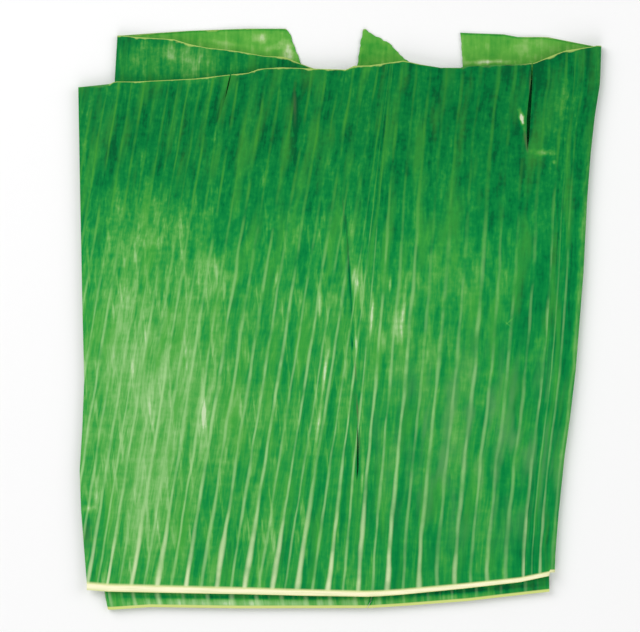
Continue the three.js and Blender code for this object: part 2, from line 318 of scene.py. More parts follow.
back = even_panel(BACK_LOWER_EDGE, BACK_MARGIN, back_z, -1, BACK_SPACES, FIRST_BACK_VEIN, True)
middle = even_panel(MIDDLE_LOWER_EDGE, MIDDLE_MARGIN, middle_z, 1, MIDDLE_SPACES, FIRST_MIDDLE_VEIN, False)
print("back and middle panels:", back["point"].shape[:2], middle["point"].shape[:2])

# %% The two folds
RIGHT_STEPS, LEFT_STEPS = 15, 11
right_turn = np.linspace(90, -90, RIGHT_STEPS)[1:-1]
left_turn = np.linspace(-90, 90, LEFT_STEPS)[1:-1]
right_grain = np.linspace(front_grain[-1], FIRST_BACK_VEIN, RIGHT_STEPS)[1:-1]
left_grain = np.linspace(FIRST_BACK_VEIN + BACK_SPACES, FIRST_MIDDLE_VEIN, LEFT_STEPS)[1:-1]
right_fold = fold_grid(RIGHT_FOLD, 1, RIGHT_BEND, BACK_Z, FRONT_Z, right_turn, right_grain)
left_fold = fold_grid(LEFT_FOLD, -1, LEFT_BEND, BACK_Z, MIDDLE_Z, left_turn, left_grain)
print("fold columns:", len(right_turn), len(left_turn))

# %% [markdown]
# ## One closed skin
# The five grids are laid end to end in the order in which the leaf runs: front, right fold, back, left fold,
# middle. Every point is doubled, once on the shiny upper side of the blade and once on the dull underside,
# and the rims are closed. Marks go with each point, such as the number of its vein and its place up the
# blade. The vein rule and the finish read them later, so the veins stay on the leaf wherever it bends.

# %% Lay the grids end to end
grids = [front, right_fold, back, left_fold, middle]
blade = {key: np.concatenate([grid[key] for grid in grids]) for key in front}
columns, rows = blade["grain"].shape
outer_face = blade["point"] + blade["outward"] * blade["outer"][..., None]
inner_face = blade["point"] - blade["outward"] * blade["inner"][..., None]
points = np.stack([outer_face, inner_face], 2).reshape(-1, 3) * MM
print("columns and rows:", columns, rows)


# %% Faces of the closed skin
def skin_faces(columns, rows):
    """Quads of both sides, then of the four rims, with the number of the finish each one gets."""
    number = np.arange(columns * rows * 2).reshape(columns, rows, 2)
    a, b = number[:-1, :-1], number[1:, :-1]
    c, d = number[1:, 1:], number[:-1, 1:]
    sides = [
        np.stack([a[..., 0], b[..., 0], c[..., 0], d[..., 0]], -1).reshape(-1, 4),
        np.stack([c[..., 1], b[..., 1], a[..., 1], d[..., 1]], -1).reshape(-1, 4),
    ]
    low, high = number[:, 0], number[:, -1]
    first, last = number[0], number[-1]
    rims = [
        np.stack([low[:-1, 1], low[1:, 1], low[1:, 0], low[:-1, 0]], -1),
        np.stack([high[:-1, 0], high[1:, 0], high[1:, 1], high[:-1, 1]], -1),
        np.stack([first[:-1, 1], first[:-1, 0], first[1:, 0], first[1:, 1]], -1),
        np.stack([last[:-1, 0], last[:-1, 1], last[1:, 1], last[1:, 0]], -1),
    ]
    finish = [0] * len(sides[0]) + [1] * len(sides[1]) + [2] * sum(map(len, rims))
    return np.concatenate([*sides, *rims]), np.array(finish)


quads, finish_number = skin_faces(columns, rows)
leaf_mesh = bpy.data.meshes.new("banana_blade")
leaf_mesh.from_pydata(points.tolist(), [], quads.tolist())
print("quads:", len(quads))


# %% Marks that the vein rule and the finish read
def store(mesh, name, kind, values, domain="POINT"):
    layer = mesh.attributes.new(name, kind, domain)
    field = "vector" if kind == "FLOAT_VECTOR" else "value"
    layer.data.foreach_set(field, np.ascontiguousarray(values, dtype=float).ravel())


def both_sides(values):
    return np.repeat(values.reshape(-1), 2)


lift_way = np.stack([blade["outward"], -blade["outward"]], 2).reshape(-1, 3)
store(leaf_mesh, "vein", "FLOAT", both_sides(blade["grain"]))
store(leaf_mesh, "up_share", "FLOAT", both_sides(1 - blade["down"] / blade["down"].max()))
store(leaf_mesh, "in_sliver", "FLOAT", both_sides(blade["up"] < 1.1))
store(leaf_mesh, "lift_way", "FLOAT_VECTOR", lift_way)
print("marks:", [name for name in leaf_mesh.attributes.keys() if not name.startswith(".")])

# %% The same marks as two texture maps, which survive cutting
corner_point = quads.reshape(-1)


def store_map(mesh, name, across, upward):
    layer = mesh.uv_layers.new(name=name)
    values = np.stack([across[corner_point], upward[corner_point]], -1)
    layer.data.foreach_set("uv", values.ravel())


store_map(leaf_mesh, "grain", both_sides(blade["grain"]), both_sides(blade["down"].max() - blade["down"]))
store_map(leaf_mesh, "edges", both_sides(blade["up"]), both_sides(blade["down"]))
print("maps:", leaf_mesh.uv_layers.keys())

# %% [markdown]
# ## A short way to write node trees
# The vein rule and the finishes are node trees. `add` makes one node, fills its inputs with numbers or with
# links, and hands it back. Working with a few such helpers keeps each tree readable from top to bottom.


# %% Helpers for node trees
def add(tree, kind, inputs=None, **settings):
    node = tree.nodes.new(kind)
    for name, value in settings.items():
        setattr(node, name, value)
    for key, value in (inputs or {}).items():
        if isinstance(value, bpy.types.NodeSocket):
            tree.links.new(value, node.inputs[key])
        else:
            node.inputs[key].default_value = value
    return node


def calc(tree, operation, a, b=0.0, c=0.0):
    return add(tree, "ShaderNodeMath", {0: a, 1: b, 2: c}, operation=operation).outputs[0]


def apart(tree, a, b):
    return calc(tree, "ABSOLUTE", calc(tree, "SUBTRACT", a, b))


def fade(tree, value, low, high, start=0.0, end=1.0):
    """A soft step: start below low, end above high."""
    inputs = {"Value": value, "From Min": low, "From Max": high, "To Min": start, "To Max": end}
    return add(tree, "ShaderNodeMapRange", inputs, interpolation_type="SMOOTHSTEP").outputs[0]


def times(tree, a, b):
    return calc(tree, "MULTIPLY", a, b)


def clouds(tree, place, scale, detail=2.0):
    """Noise from 0 to 1, with scale counts per unit of place."""
    return add(tree, "ShaderNodeTexNoise", {"Vector": place, "Scale": scale, "Detail": detail}).outputs[0]


print("tree helpers: add, calc, apart, fade, times, clouds")

# %% [markdown]
# ## The side veins, by a rule
# On a real leaf each side vein is a low ridge on both sides of the blade, highest near the midrib and fading
# towards the margin, with a lesser vein halfway to the next. That is a rule, so Geometry Nodes raise it: each
# point asks how far it is from the nearest whole vein number and moves outwards by a bell-shaped amount. A
# seeded random number makes some veins weaker, as on the real leaf.

# %% Inputs of the vein rule
vein_rule = bpy.data.node_groups.new("side_vein_rule", "GeometryNodeTree")
vein_rule.interface.new_socket("Geometry", in_out="INPUT", socket_type="NodeSocketGeometry")
vein_rule.interface.new_socket("Geometry", in_out="OUTPUT", socket_type="NodeSocketGeometry")
vein_sizes = {
    "Ridge Height": 0.32 * MM,
    "Ridge Half Width": 0.1,
    "Lesser Ridge Share": 0.4,
    "Pleat Depth": 0.1 * MM,
    "Height Left At Margin": 0.35,
    "Seed": 7.0,
}
for name in vein_sizes:
    vein_rule.interface.new_socket(name, in_out="INPUT", socket_type="NodeSocketFloat")
print("vein rule inputs:", list(vein_sizes))


# %% How far each point is lifted
def named(tree, name, kind="FLOAT"):
    return add(tree, "GeometryNodeInputNamedAttribute", {"Name": name}, data_type=kind).outputs[0]


def vein_lift(tree, sizes):
    vein = named(tree, "vein")
    nearest = calc(tree, "ROUND", vein)
    distance = apart(tree, vein, nearest)
    ridge = fade(tree, distance, 0.0, sizes["Ridge Half Width"], 1.0, 0.0)
    halfway = apart(tree, distance, 0.5)
    lesser = fade(tree, halfway, 0.0, sizes["Ridge Half Width"], sizes["Lesser Ridge Share"], 0.0)
    ridge = calc(tree, "ADD", ridge, lesser)
    seeded = calc(tree, "ADD", nearest, sizes["Seed"])
    chance = add(tree, "ShaderNodeTexWhiteNoise", {"W": seeded}, noise_dimensions="1D").outputs["Value"]
    strength = calc(tree, "MULTIPLY_ADD", chance, 0.5, 0.5)
    share = named(tree, "up_share")
    left = fade(tree, share, 0.0, 1.0, 1.0, sizes["Height Left At Margin"])
    height = times(tree, sizes["Ridge Height"], times(tree, strength, left))
    pleat = times(tree, sizes["Pleat Depth"], fade(tree, distance, 0.1, 0.5))
    lift = calc(tree, "SUBTRACT", times(tree, ridge, height), pleat)
    return times(tree, lift, calc(tree, "SUBTRACT", 1.0, named(tree, "in_sliver")))


group_in = vein_rule.nodes.new("NodeGroupInput")
group_out = vein_rule.nodes.new("NodeGroupOutput")
way = named(vein_rule, "lift_way", "FLOAT_VECTOR")
lift = vein_lift(vein_rule, group_in.outputs)
offset = add(vein_rule, "ShaderNodeVectorMath", {0: way, "Scale": lift}, operation="SCALE").outputs[0]
moved = {"Geometry": group_in.outputs["Geometry"], "Offset": offset}
raised = add(vein_rule, "GeometryNodeSetPosition", moved)
print("nodes in the vein rule:", len(vein_rule.nodes))

# %% [markdown]
# ## Three finishes on one blade
# The upper side is deep green and waxy, the underside paler and dull, and a fresh cut is pale and moist. The
# materials are made empty here, so that the vein rule can hand them out by face, and filled in further down.

# %% Hand out the finishes and close the rule
upper_finish = bpy.data.materials.new("leaf_upper_side")
under_finish = bpy.data.materials.new("leaf_underside")
cut_finish = bpy.data.materials.new("leaf_cut_edge")
store(leaf_mesh, "finish_number", "FLOAT", finish_number, "FACE")
real = add(vein_rule, "GeometryNodeRealizeInstances", {"Geometry": raised.outputs[0]}).outputs[0]
for number, finish in enumerate((upper_finish, under_finish, cut_finish)):
    leaf_mesh.materials.append(finish)
    chosen = calc(vein_rule, "COMPARE", named(vein_rule, "finish_number"), number, 0.5)
    inputs = {"Geometry": real, "Selection": chosen, "Material": finish}
    real = add(vein_rule, "GeometryNodeSetMaterial", inputs).outputs[0]
vein_rule.links.new(real, group_out.inputs[0])
print("finishes:", [m.name for m in leaf_mesh.materials])


# %% Apply the vein rule
def collect(name, mesh):
    thing = bpy.data.objects.new(name, mesh)
    bpy.context.scene.collection.objects.link(thing)
    return thing


def settle(thing):
    """Turn an object's modifiers into plain mesh and take them off."""
    seen = thing.evaluated_get(bpy.context.evaluated_depsgraph_get())
    plain = bpy.data.meshes.new_from_object(seen)
    thing.modifiers.clear()
    thing.data = plain


leaf = collect("banana_blade", leaf_mesh)
modifier = leaf.modifiers.new("side veins", "NODES")
modifier.node_group = vein_rule
for item in vein_rule.interface.items_tree:
    if item.in_out == "INPUT" and item.name in vein_sizes:
        modifier[item.identifier] = vein_sizes[item.name]
settle(leaf)
print("blade with veins:", len(leaf.data.vertices), "points")

# %% [markdown]
# ## Cut end, torn notches and tears
# A knife cut the front panel's free end across the veins, two pieces are torn out of the back panel's margin,
# and a few slits run along the veins. Each is a thin upright cutter, kept to the height of its own layer so
# that the layers above and below stay whole. One Boolean takes them all away.

# %% Outlines of what is missing
BACK_NOTCHES = [
    [(-30, 162), (-30, 160.1), (-27.8, 157.6), (-20.9, 139.8), (-19.8, 134.2), (8.3, 134.2),
     (9.6, 140.3), (12.5, 158.6), (12.9, 162)],
    [(14.6, 162), (14.6, 159.4), (16, 158.1), (25.6, 153.1), (30.6, 148.5), (35.6, 143.4),
     (38.5, 141.4), (40.2, 134.8), (66.6, 134.8), (67.8, 139.4), (66.3, 157.9), (66.3, 162)],
]
FRONT_TEARS = [
    [(105.8, 144, 0.6), (105.4, 131, 0.8), (104.4, 119, 1.8), (103.7, 110, 2.1), (103.4, 100, 1.4),
     (103.2, 93, 0)],
    [(-59.6, 137, 0.9), (-61.6, 128.2, 0.7), (-63.5, 120, 0)],
    [(9.2, -89, 0), (9.8, -82, 0.9), (9.8, -70, 0.8), (9.5, -56, 0)],
]
MIDDLE_TEARS = [
    [(14.2, -163, 0.35), (14.9, -159.2, 0.35), (17, -155.6, 0.35), (17.4, -152.4, 0.35), (18, -146, 0)],
]
BELOW_ALL, ABOVE_BACK, ABOVE_MIDDLE, ABOVE_ALL = -2, 2.4, 4.9, 12
print("notches and tears:", len(BACK_NOTCHES), len(FRONT_TEARS) + len(MIDDLE_TEARS))


# %% Make the cutters
def ragged(outline, seed, step=1.6, depth=0.22):
    """The same outline with points every step and a small seeded wavering, as a knife or a tear leaves."""
    random = np.random.default_rng(seed)
    fine = []
    for (ax, ay), (bx, by) in zip(outline, [*outline[1:], outline[0]]):
        pieces = max(1, round(math.hypot(bx - ax, by - ay) / step))
        for i in range(pieces):
            wobble = random.normal(0, depth, 2) if i else (0, 0)
            fine.append((mix(ax, bx, i / pieces) + wobble[0], mix(ay, by, i / pieces) + wobble[1]))
    return fine


def tear_outline(tear):
    """Down the left lip and back up the right one, which meet wherever the tear doesn't gape."""
    left = [(x - gape / 2, y) for x, y, gape in tear]
    right = [(x + gape / 2, y) for x, y, gape in tear if gape > 0]
    return left + right[::-1]


def prism(outline, low, high, start):
    """Corners and faces of an upright cutter, numbered from start, with its faces looking outwards."""
    corners = np.array(outline, float)
    following = np.roll(corners, -1, 0)
    if (corners[:, 0] * following[:, 1] - following[:, 0] * corners[:, 1]).sum() < 0:
        corners = corners[::-1]
    count = len(corners)
    places = [(x * MM, y * MM, z * MM) for z in (low, high) for x, y in corners]
    bottom, top = list(range(start, start + count)), list(range(start + count, start + 2 * count))
    walls = [(bottom[i - 1], bottom[i], top[i], top[i - 1]) for i in range(count)]
    return places, [tuple(bottom[::-1]), tuple(top), *walls]


cuts = [([*FRONT_FREE_END, (-230, -155), (-230, 135)], BELOW_ALL, ABOVE_ALL)]
cuts += [(ragged(outline, 20 + i), BELOW_ALL, ABOVE_BACK) for i, outline in enumerate(BACK_NOTCHES)]
cuts += [(tear_outline(tear), ABOVE_MIDDLE, ABOVE_ALL) for tear in FRONT_TEARS]
cuts += [(tear_outline(tear), ABOVE_BACK, ABOVE_MIDDLE) for tear in MIDDLE_TEARS]
cutter_places, cutter_faces = [], []
for outline, low, high in cuts:
    places, faces = prism(outline, low, high, len(cutter_places))
    cutter_places += places
    cutter_faces += faces
print("cutter faces:", len(cutter_faces))

# %% Take them away from the blade
cutter_mesh = bpy.data.meshes.new("cutters")
cutter_mesh.from_pydata(cutter_places, [], cutter_faces)
for finish in (upper_finish, under_finish, cut_finish):
    cutter_mesh.materials.append(finish)
cutter_mesh.polygons.foreach_set("material_index", [2] * len(cutter_faces))
cutters = collect("cutters", cutter_mesh)
boolean = leaf.modifiers.new("cuts", "BOOLEAN")
boolean.operation = "DIFFERENCE"
boolean.solver = "EXACT"
boolean.object = cutters
settle(leaf)
bpy.data.objects.remove(cutters)
leaf.data.shade_smooth()
leaf.data.set_sharp_from_angle(angle=math.radians(50))
print("blade after cutting:", len(leaf.data.polygons), "faces")

# %% [markdown]
# ## Colours
# The colours are written as they look on a screen, from 0 to 255, and turned into the linear values that the
# shader works in. The upper side is one long scale of greens: the bruised and shaded leaf is at its dark end,
# the wax bloom with its painted sheen and the veins are further up, and a rubbed spot is at the pale end.


# %% Palette
def screen(red, green, blue):
    linear = [((c / 255 + 0.055) / 1.055) ** 2.4 if c > 10 else c / 255 / 12.92 for c in (red, green, blue)]
    return (*linear, 1.0)


UPPER_TONES = [(0.0, screen(0, 98, 50)), (0.14, screen(0, 122, 58)), (0.3, screen(12, 134, 61)),
               (0.42, screen(34, 146, 63)), (0.54, screen(60, 156, 66)), (0.67, screen(92, 170, 80)),
               (0.8, screen(124, 184, 106)), (0.9, screen(150, 198, 130)), (1.0, screen(222, 230, 200))]
UNDER_TONES = [(0.0, screen(20, 120, 40)), (0.3, screen(58, 150, 52)), (0.55, screen(96, 170, 66)),
               (0.8, screen(140, 188, 104)), (1.0, screen(204, 220, 180))]
VEIN_GREEN = screen(160, 206, 138)
SALLOW_GREEN = screen(70, 162, 56)
GREY_GREEN = screen(92, 152, 92)
VEIN_CREAM = screen(222, 230, 184)
SLIVER_CREAM = screen(250, 244, 206)
SLIVER_GREEN = screen(196, 216, 148)
SLIVER_YELLOW = screen(200, 212, 116)
MARGIN_YELLOW = screen(172, 198, 104)
BRUISE_BROWN = screen(92, 104, 70)
print("tones of the upper side:", len(UPPER_TONES), "of the underside:", len(UNDER_TONES))

# %% [markdown]
# ## The pattern on the blade
# From close by, the upper side shows pale side veins that are broad and cream at the midrib and thin out
# upwards. Between them lie streaks of lighter and darker green, a few millimetres wide and some centimetres
# long. Both follow the vein numbers of the `grain` map. Two more sets of streaks stand at a lean of their
# own, from when the leaf was still rolled up, and make narrow V shapes with the veins. A faint last set lies
# crosswise.


# %% Pattern helpers
def blend(tree, share, below, above):
    node = add(tree, "ShaderNodeMix", {0: share, 6: below, 7: above}, data_type="RGBA", blend_type="MIX")
    return node.outputs[2]


def centred(tree, value, gain):
    """A noise value moved from 0..1 to run evenly below and above zero."""
    return times(tree, calc(tree, "SUBTRACT", value, 0.5), gain)


def total(tree, *values):
    result = values[0]
    for value in values[1:]:
        result = calc(tree, "ADD", result, value)
    return result


def streaks(tree, vein, up, across, along_blade, seed, detail=2.0):
    """Noise drawn out along the veins: across counts per vein, along_blade per millimetre of blade."""
    inputs = {0: times(tree, vein, across), 1: times(tree, up, along_blade), 2: seed}
    place = add(tree, "ShaderNodeCombineXYZ", inputs).outputs[0]
    return clouds(tree, place, 1.0, detail)


def upright_streaks(tree, where, lean, across, along_blade, seed):
    """Noise drawn out at a fixed lean on the leaf as it lies, in counts per millimetre."""
    x, y, _ = add(tree, "ShaderNodeSeparateXYZ", {0: where}).outputs
    sheared = calc(tree, "MULTIPLY_ADD", y, -lean, x)
    inputs = {0: times(tree, sheared, across / MM), 1: times(tree, y, along_blade / MM), 2: seed}
    place = add(tree, "ShaderNodeCombineXYZ", inputs).outputs[0]
    return clouds(tree, place, 1.0)


def vein_lines(tree, vein, up, gap_width, tip_width, seed=0.0):
    """Soft pale lines on the crests, uneven from vein to vein and along each one."""
    nearest = calc(tree, "ROUND", vein)
    gap = apart(tree, vein, nearest)
    number = calc(tree, "ADD", nearest, seed)
    swelling = fade(tree, streaks(tree, number, up, 7.7, 0.03, 14.0), 0.3, 0.7, 0.7, 1.15)
    width = times(tree, fade(tree, up, 0.0, 110.0, gap_width, tip_width), swelling)
    line = fade(tree, calc(tree, "DIVIDE", gap, width), 0.1, 1.0, 1.0, 0.0)
    chance = add(tree, "ShaderNodeTexWhiteNoise", {"W": number}, noise_dimensions="1D").outputs["Value"]
    left_in_gaps = fade(tree, up, 60.0, 230.0, 0.42, 0.0)
    broken = fade(tree, streaks(tree, number, up, 5.3, 0.045, 4.0, 3.0), 0.34, 0.6, left_in_gaps, 1.0)
    strength = times(tree, broken, calc(tree, "MULTIPLY_ADD", chance, 0.4, 0.75))
    return times(tree, line, strength)


print("pattern helpers ready")


# %% Marks at one place
def spot(tree, where, centre, half_size, turn=0.0, ragged_by=0.0):
    """A soft oval mark, 1 at its centre. Sizes in millimetres, turned anticlockwise in degrees."""
    away = add(tree, "ShaderNodeVectorMath", {0: where, 1: (centre[0] * MM, centre[1] * MM, 0)},
               operation="SUBTRACT").outputs[0]
    turned = add(tree, "ShaderNodeVectorRotate", {"Vector": away, "Angle": math.radians(-turn)},
                 rotation_type="Z_AXIS").outputs[0]
    squeeze = (1 / half_size[0] / MM, 1 / half_size[1] / MM, 0)
    squeezed = add(tree, "ShaderNodeVectorMath", {0: turned, 1: squeeze}, operation="MULTIPLY").outputs[0]
    reach = add(tree, "ShaderNodeVectorMath", {0: squeezed}, operation="LENGTH").outputs["Value"]
    if ragged_by:
        reach = total(tree, reach, centred(tree, clouds(tree, where, 240.0), ragged_by))
    return fade(tree, reach, 0.0, 1.0, 1.0, 0.0)


def marked(tree, where, tone, marks, ragged_by=0.0):
    """Raise or lower the tone at every mark of a list: centre, half sizes, turn and strength."""
    for centre, half_size, turn, strength in marks:
        mark = spot(tree, where, centre, half_size, turn, ragged_by)
        tone = calc(tree, "MULTIPLY_ADD", mark, strength, tone)
    return tone


print("mark helpers: spot, marked")

# %% [markdown]
# ## Where this leaf is light and dark
# No two leaves are marked alike. This one is deep green along its margin and right side. It has a broad wax
# bloom at the lower left with painted sheen on it, pale streaks in its middle, a painted highlight beside the
# crease down the front and painted shade in it, along the tears and under the midrib sliver, a few rubbed
# spots and scratches, and bruises along its tears. Each mark is an oval: its centre, half its width and
# height, its turn and its strength, in millimetres and degrees. A strength below zero darkens the leaf.

# %% Bloom and painted sheen, streaks and painted highlights, painted shade and scars
# The pale patches at the lower left and in the middle are wax bloom with painted sheen on it; those below
# zero darken the upper right.
BLOOM_AND_SHEEN = [
    ((-100, -45), (85, 130), 0, 0.4), ((-115, -115), (60, 60), 0, 0.24), ((-20, -60), (70, 100), 0, 0.14),
    ((60, -20), (70, 110), 0, 0.09), ((-110, 55), (45, 60), 0, 0.2), ((10, 15), (60, 70), 0, 0.16),
    ((-122, -15), (34, 50), 0, 0.1), ((55, 15), (24, 34), -5, 0.08), ((-60, 20), (50, 60), 0, 0.08),
    ((95, 95), (45, 60), 0, -0.05), ((118, 10), (30, 90), 0, -0.06), ((-138, 90), (8, 50), 0, 0.15),
    ((124, 105), (15, 60), -5, 0.2), ((-92, 142), (50, 20), 0, 0.44), ((-50, -157), (120, 5), 0, 0.66),
    ((60, -154), (60, 4), 3, 0.3), ((78, -85), (60, 60), 0, 0.08), ((-60, -146), (110, 18), 0, 0.14),
]
# Pale streaks along the veins; the four just right of the middle crease, from x 6 to 9 mm, are a painted
# highlight on the side of the crease that faces the light.
PALE_STREAKS_AND_HIGHLIGHTS = [
    ((-35, 22), (1.6, 22), -9, 0.26), ((-22, 8), (1.4, 16), -9, 0.2), ((-11, 10), (1.9, 16), -2, 0.4),
    ((-11.5, -55), (1.9, 48), -7.2, 0.46), ((-7.5, -22), (2.0, 20), -7, 0.36),
    ((6.4, 48), (2.4, 14), 3, 0.24), ((8.3, 21), (2.8, 15), 3, 0.36), ((8.5, 0), (1.4, 14), 0, 0.24),
    ((8.8, -13), (1.0, 8), 3, 0.5), ((27.5, 19), (1.3, 8), -3, 0.45), ((17.4, 2), (1.5, 18), -4, 0.36),
    ((34.5, -2), (2.0, 34), -4, 0.3), ((30, 2), (9, 20), -4, 0.14), ((12.2, -87), (1.9, 24), -3, 0.36),
    ((-95, -62), (10, 34), -8, 0.1), ((-76, -60), (7, 26), -8, 0.1), ((-69, -4), (4, 22), -8, 0.1),
    ((40, 50), (3, 18), -5, 0.1), ((-124, -80), (3, 12), -8, 0.1), ((50, -60), (4, 30), -5, 0.08),
]
# Painted shade in the creases down the front and near the top, along the tears, in the middle tear's slit and
# in a wrinkle at the left end; the two long flat ovals are a painted shadow under the midrib sliver. One mark
# lightens instead.
PAINTED_SHADE_MARKS = [
    ((4.9, 30), (0.9, 46), 3.5, -0.5), ((2.5, 53), (1.5, 14), 4, -0.28), ((3.6, 36), (1.5, 14), 4, -0.2),
    ((4.8, 20), (1.6, 22), 5, -0.24), ((1.0, 20), (4, 34), 5, -0.12), ((6.7, -13.5), (1.0, 6), 3, -0.5),
    ((9.6, -71), (1.8, 18), 0, -0.3), ((8.2, -45), (1.8, 22), 3, -0.16), ((-24.8, 96), (3.4, 34), 1, -0.14),
    ((-24.9, 116), (2.4, 20), 1, -0.34), ((-64.6, 119), (1.4, 16), -17, -0.6),
    ((-68.8, 101.5), (1.2, 7), -8, 0.45), ((100, 78), (2.6, 22), -5, -0.26),
    ((105.2, 132), (2.2, 14), -2, -0.3), ((-139.5, -118), (5, 16), -5, -0.22),
    ((-66, -116), (2.5, 26), -8, -0.12), ((17, -155), (1.7, 6), -20, -0.7),
    ((-55, -153.4), (90, 1.7), -0.4, -0.4), ((75, -149.3), (60, 2.0), 4.6, -0.4),
]
SCARS = [
    ((-64.5, 71), (8, 4.5), 10, 0.16), ((-43, 76), (6, 4), 0, 0.16), ((-107, 43), (10, 6), -8, 0.16),
    ((-104, 66), (9, 13), -8, 0.16), ((-81, 122), (8, 5), 30, 0.16), ((-92, 98), (5, 10), -8, 0.12),
    ((-130, 110), (6, 10), -8, 0.14), ((-72, 20), (14, 20), -8, 0.1), ((-118, 10), (12, 16), -8, 0.1),
    ((111.5, 91.5), (8.5, 3), -4, 0.5), ((117.7, 86), (1.8, 2.4), 0, 0.5),
    ((93.5, -1), (4.6, 0.7), 42, 0.25), ((92.5, -3), (3.4, 0.6), -40, 0.2),
    ((100.1, 109.5), (2.4, 9), 12, 0.95), ((-138.5, -104), (5.5, 2.2), 12, 0.2),
    ((-134, -100), (2.2, 7), -10, 0.2), ((110, 92), (9, 6), 0, 0.2), ((-99.5, 149), (18, 5), -6, 0.14),
    ((-112, 144), (6, 14), -30, 0.14), ((-77, 139), (12, 9), 30, 0.16), ((-95, 145), (10, 3), -12, 0.14),
    ((90, 116), (3, 9), -4, 0.1), ((20, 140.2), (4, 1.2), 0, 0.2), ((122, 122), (9, 22), -6, 0.14),
]
BRUISES = [
    ((8.5, -28), (0.7, 10), 4, 0.55), ((9.6, -50), (0.9, 11), 4, 0.7), ((10.7, -68), (0.7, 11), 0, 0.6),
    ((102.3, 98), (1.3, 9), 8, 0.6), ((104.6, 128), (0.9, 10), 0, 0.5), ((2.0, 60), (0.6, 9), 4, 0.35),
    ((-24.9, 118), (1.4, 14), 1, 0.35), ((-139, -120), (4, 14), -5, 0.25),
]
UNDER_SCARS = [
    ((-29, 148), (5, 13), 16, 0.45), ((-44, 155), (9, 4), 0, 0.3), ((-36, 150), (8, 3), 10, 0.25),
    ((82, 141.8), (20, 2.0), 2, 0.4), ((101, 149), (5, 9), -15, 0.2), ((-62, 152), (16, 2), -8, 0.15),
    ((19, 149), (10, 12), 0, -0.2),
]
print("marks:", sum(map(len, (BLOOM_AND_SHEEN, PALE_STREAKS_AND_HIGHLIGHTS, PAINTED_SHADE_MARKS, SCARS, BRUISES, UNDER_SCARS))))

# %% [markdown]
# ## The upper side's finish
# Streaks, bloom with its painted sheen, painted shade and other marks are added up as one tone and read off
# the scale of greens, so that they melt into each other as they do on the leaf. What has a colour of its own
# is laid over it: sallow and greyed streaks, the side veins, bruises, the sliver and the margin. Bump adds
# the finest veins.


# %% Light and dark of the upper side
UPPER_HALF = (0.0, 90 * MM)
RIGHT_OF_CREASE = (15 * MM, 60 * MM)
# Across and along the veins, seed and strength of each set of streaks
UPPER_STREAKS = [
    (0.4, 0.009, 6.0, 0.55), (1.3, 0.02, 1.0, 0.3), (2.8, 0.028, 2.0, 0.42), (5.2, 0.035, 3.0, 0.5),
    (11.0, 0.05, 4.0, 0.4), (19.0, 0.08, 7.0, 0.2),
]
# Lean, counts per millimetre across and up the leaf, and seed of the sets that cross the veins
LEANING_RIGHT = (0.06, 0.3, 0.03, 5.0)
LEANING_LEFT = (-0.07, 0.34, 0.03, 25.0)
CRUMPLED_ACROSS = (0.0, 0.03, 0.3, 9.0)


def upper_tone(tree, where, vein, up):
    x, y, _ = add(tree, "ShaderNodeSeparateXYZ", {0: where}).outputs
    broad = fade(tree, y, 10 * MM, 110 * MM, 0.42, 0.25)
    right = fade(tree, x, 60 * MM, 140 * MM, 0.0, -0.1)
    tone = marked(tree, where, total(tree, broad, right), BLOOM_AND_SHEEN)
    strength = fade(tree, y, *UPPER_HALF, 1.0, 1.1)
    up = times(tree, up, fade(tree, up, 120.0, 300.0, 1.0, 1.5))
    for across, along_blade, seed, gain in UPPER_STREAKS:
        streak = centred(tree, streaks(tree, vein, up, across, along_blade, seed), gain)
        tone = calc(tree, "MULTIPLY_ADD", streak, strength, tone)
    tone = total(tree, tone, centred(tree, upright_streaks(tree, where, *LEANING_RIGHT), 0.26))
    crossing = fade(tree, upright_streaks(tree, where, *LEANING_LEFT), 0.52, 0.74, 0.0, 0.28)
    crossing = times(tree, crossing, fade(tree, x, 0.0, 50 * MM, 1.0, 0.35))
    tone = total(tree, tone, times(tree, crossing, fade(tree, y, 40 * MM, 90 * MM, 1.0, 0.4)))
    mottle = centred(tree, clouds(tree, where, 150.0), 0.3)
    speckle = centred(tree, clouds(tree, where, 420.0), 0.5)
    tone = total(tree, tone, mottle, times(tree, speckle, fade(tree, y, *UPPER_HALF, 0.35, 1.0)))
    crumple = upright_streaks(tree, where, *CRUMPLED_ACROSS)
    tone = total(tree, tone, centred(tree, crumple, 0.16))
    # Painted light: the turn of the right fold is lightened into a bright rim, against the shading of the
    # bend.
    rim = apart(tree, vein, FIRST_BACK_VEIN - 0.35)
    tone = calc(tree, "ADD", tone, fade(tree, rim, 0.1, 0.4, 0.3, 0.0))
    tone = marked(tree, where, fade(tree, tone, -0.35, 1.35, -0.08, 0.95), PALE_STREAKS_AND_HIGHLIGHTS)
    return calc(tree, "MINIMUM", tone, 0.95)


def tone_colour(tree, tone, tones):
    ramp = add(tree, "ShaderNodeValToRGB", {0: tone})
    ramp.color_ramp.elements[0].position, ramp.color_ramp.elements[0].color = tones[0]
    ramp.color_ramp.elements[1].position, ramp.color_ramp.elements[1].color = tones[-1]
    for position, colour in tones[1:-1]:
        ramp.color_ramp.elements.new(position).color = colour
    return ramp.outputs[0]


print("tone of the upper side ready")


# %% Edges that every side of the blade has
def maps_and_places(tree):
    where = add(tree, "ShaderNodeTexCoord").outputs["Object"]
    grain = add(tree, "ShaderNodeUVMap", uv_map="grain").outputs[0]
    edges = add(tree, "ShaderNodeUVMap", uv_map="edges").outputs[0]
    split_grain = add(tree, "ShaderNodeSeparateXYZ", {0: grain}).outputs
    split_edges = add(tree, "ShaderNodeSeparateXYZ", {0: edges}).outputs
    return where, split_grain[0], split_grain[1], split_edges[0], split_edges[1]


